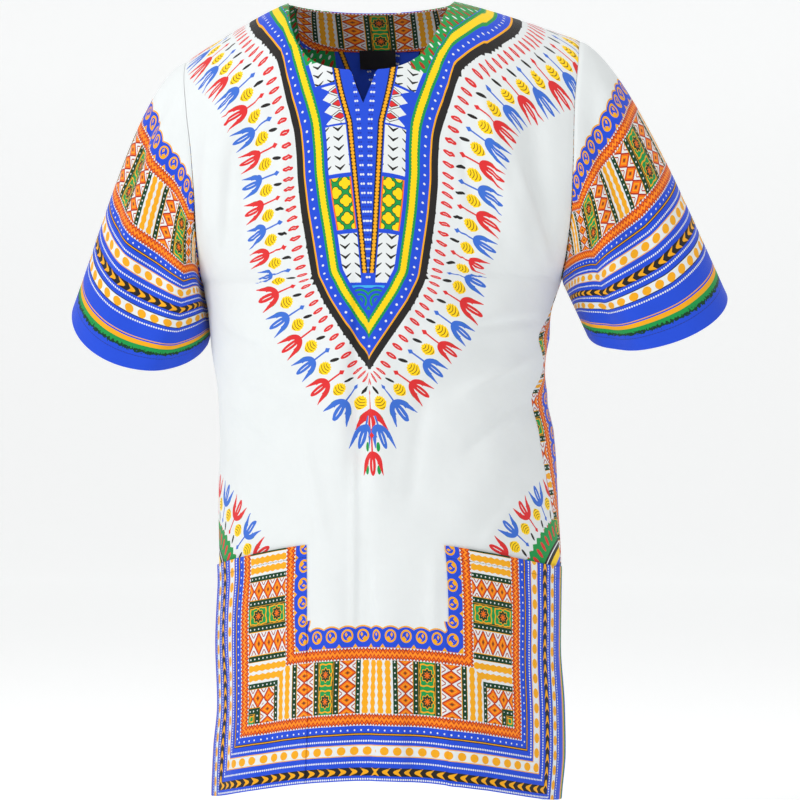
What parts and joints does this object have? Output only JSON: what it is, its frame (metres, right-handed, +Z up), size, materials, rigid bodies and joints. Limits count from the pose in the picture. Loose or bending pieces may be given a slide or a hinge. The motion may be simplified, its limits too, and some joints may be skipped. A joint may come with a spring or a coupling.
{
  "type": "dashiki shirt",
  "caption": "Short-sleeved drop-shoulder cotton dashiki shirt, filled out and hollow, with a scooped neck and V slit, patch pockets at the lower front, side slits and a traditional border print.",
  "frame": {"origin": "middle of the neck opening, level with the two ends of the shoulder seams at the neck, where the wearer holds the shirt up", "axes": "+Z up along the wearer, -Y out of the front of the shirt, +X towards the sleeve on the right as seen from the front"},
  "size_m": [0.6536, 0.2616, 0.7921],
  "materials": {
    "printed_white_cotton": "woven cotton, matt, with a soft sheen and a printed yoke and borders",
    "printed_border_cotton": "woven cotton, matt, printed with blue borders and patterned panels",
    "plain_label": "bare satin-woven label"
  },
  "bodies": {
    "root": {"front": "printed_white_cotton", "back": "printed_white_cotton", "sleeve_left": "printed_border_cotton", "sleeve_right": "printed_border_cotton", "pocket_left": "printed_border_cotton", "pocket_right": "printed_border_cotton", "neck_facing": "printed_border_cotton", "label": "plain_label"}
  },
  "joints": []
}
